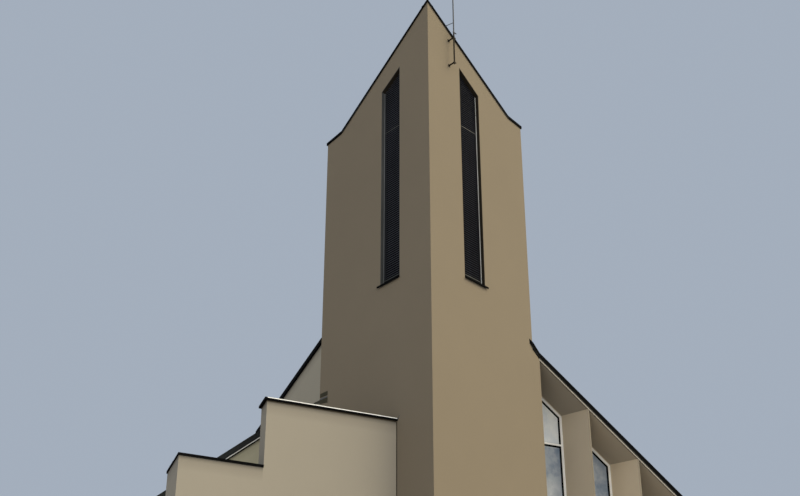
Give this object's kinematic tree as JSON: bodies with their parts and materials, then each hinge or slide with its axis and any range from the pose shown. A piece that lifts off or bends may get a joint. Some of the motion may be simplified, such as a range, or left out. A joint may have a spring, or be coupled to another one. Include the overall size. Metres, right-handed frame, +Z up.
{
  "type": "modern church building",
  "caption": "Rendered modern church: a square tower set askew with tall louvre slots, beside a broad gabled hall with finned windows and a stepped screen wall.",
  "frame": {"origin": "middle of the underside of the hall's floor, at ground level", "axes": "+X to the right of the front, +Y along the hall from its front to its rear, +Z up"},
  "size_m": [23.5, 27.6128, 30.8],
  "materials": {
    "render": "smooth painted mineral render, matt",
    "cream_render": "painted render board, matt",
    "dark_sheet": "dark grey coated sheet, satin",
    "grey_metal": "galvanised, dull",
    "louvre_metal": "dark brown painted slats, matt",
    "glazing": "reflective double glazing",
    "concrete": "floated concrete",
    "door_timber": "stained boards, satin"
  },
  "bodies": {
    "root": {"tower_wall_left": "render", "tower_wall_right": "render", "tower_wall_rear_left": "render", "tower_wall_rear_right": "render", "front_wall_right": "render", "front_wall_left": "render", "centre_wall": "render", "side_wall_left": "render", "side_wall_right": "render", "rear_wall": "render", "corner_pier": "render", "fin_1": "render", "fin_2": "render", "fin_3": "render", "fin_4": "render", "fin_5": "render", "fin_6": "render", "screen_wall": "render", "screen_return": "render", "entrance_wall": "render", "soffit_front": "cream_render", "tower_roof_left": "dark_sheet", "tower_roof_right": "dark_sheet", "roof_left": "dark_sheet", "roof_right": "dark_sheet", "roof_top": "dark_sheet", "coping_centre": "dark_sheet", "coping_high": "dark_sheet", "coping_low": "dark_sheet", "entrance_roof": "dark_sheet", "lightning_rod": "grey_metal", "gutter_right": "grey_metal", "gutter_left": "grey_metal", "downpipe_right_front": "grey_metal", "downpipe_right_rear": "grey_metal", "downpipe_left_front": "grey_metal", "downpipe_left_rear": "grey_metal", "louvre_left": "louvre_metal", "louvre_right": "louvre_metal", "louvre_rear_left": "louvre_metal", "louvre_rear_right": "louvre_metal", "window_front_1": "glazing", "window_front_2": "glazing", "window_front_3": "glazing", "window_front_4": "glazing", "window_front_5": "glazing", "window_front_6": "glazing", "glass_side_left": "glazing", "glass_side_right": "glazing", "glass_front_left": "glazing", "glass_rear_left": "glazing", "glass_rear_right": "glazing", "floor": "concrete", "entrance_floor": "concrete", "entrance_doors": "door_timber"}
  },
  "joints": []
}
